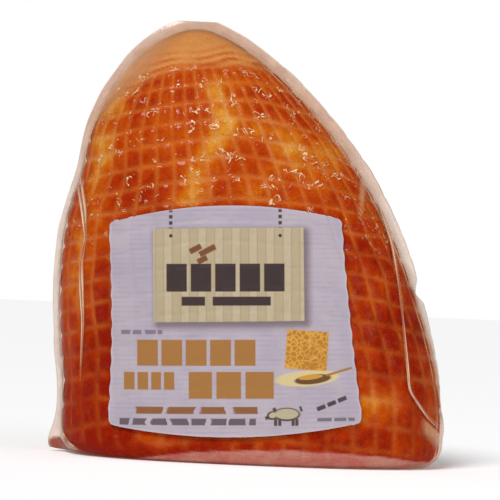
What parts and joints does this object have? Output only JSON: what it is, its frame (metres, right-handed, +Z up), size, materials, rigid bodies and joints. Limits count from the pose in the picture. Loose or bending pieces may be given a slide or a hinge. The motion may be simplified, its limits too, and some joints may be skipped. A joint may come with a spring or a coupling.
{
  "type": "glazed ham",
  "caption": "Boneless glazed half ham with a net-marked surface, standing on its cut face, sealed in a close-fitting clear bag with a printed label on the front.",
  "frame": {"origin": "on the base plane, at the middle of the whole seen from above", "axes": "+Z up from the cut face to the rounded end; +X to the right seen from the front; the labelled front faces -Y"},
  "size_m": [0.1844, 0.109, 0.2],
  "materials": {
    "ham": "honey-glazed ham seen through a glossy clear film",
    "label": "satin printed label, pressed into the net marks under it"
  },
  "bodies": {
    "root": {"bag_with_ham": "ham", "label": "label"}
  },
  "joints": []
}
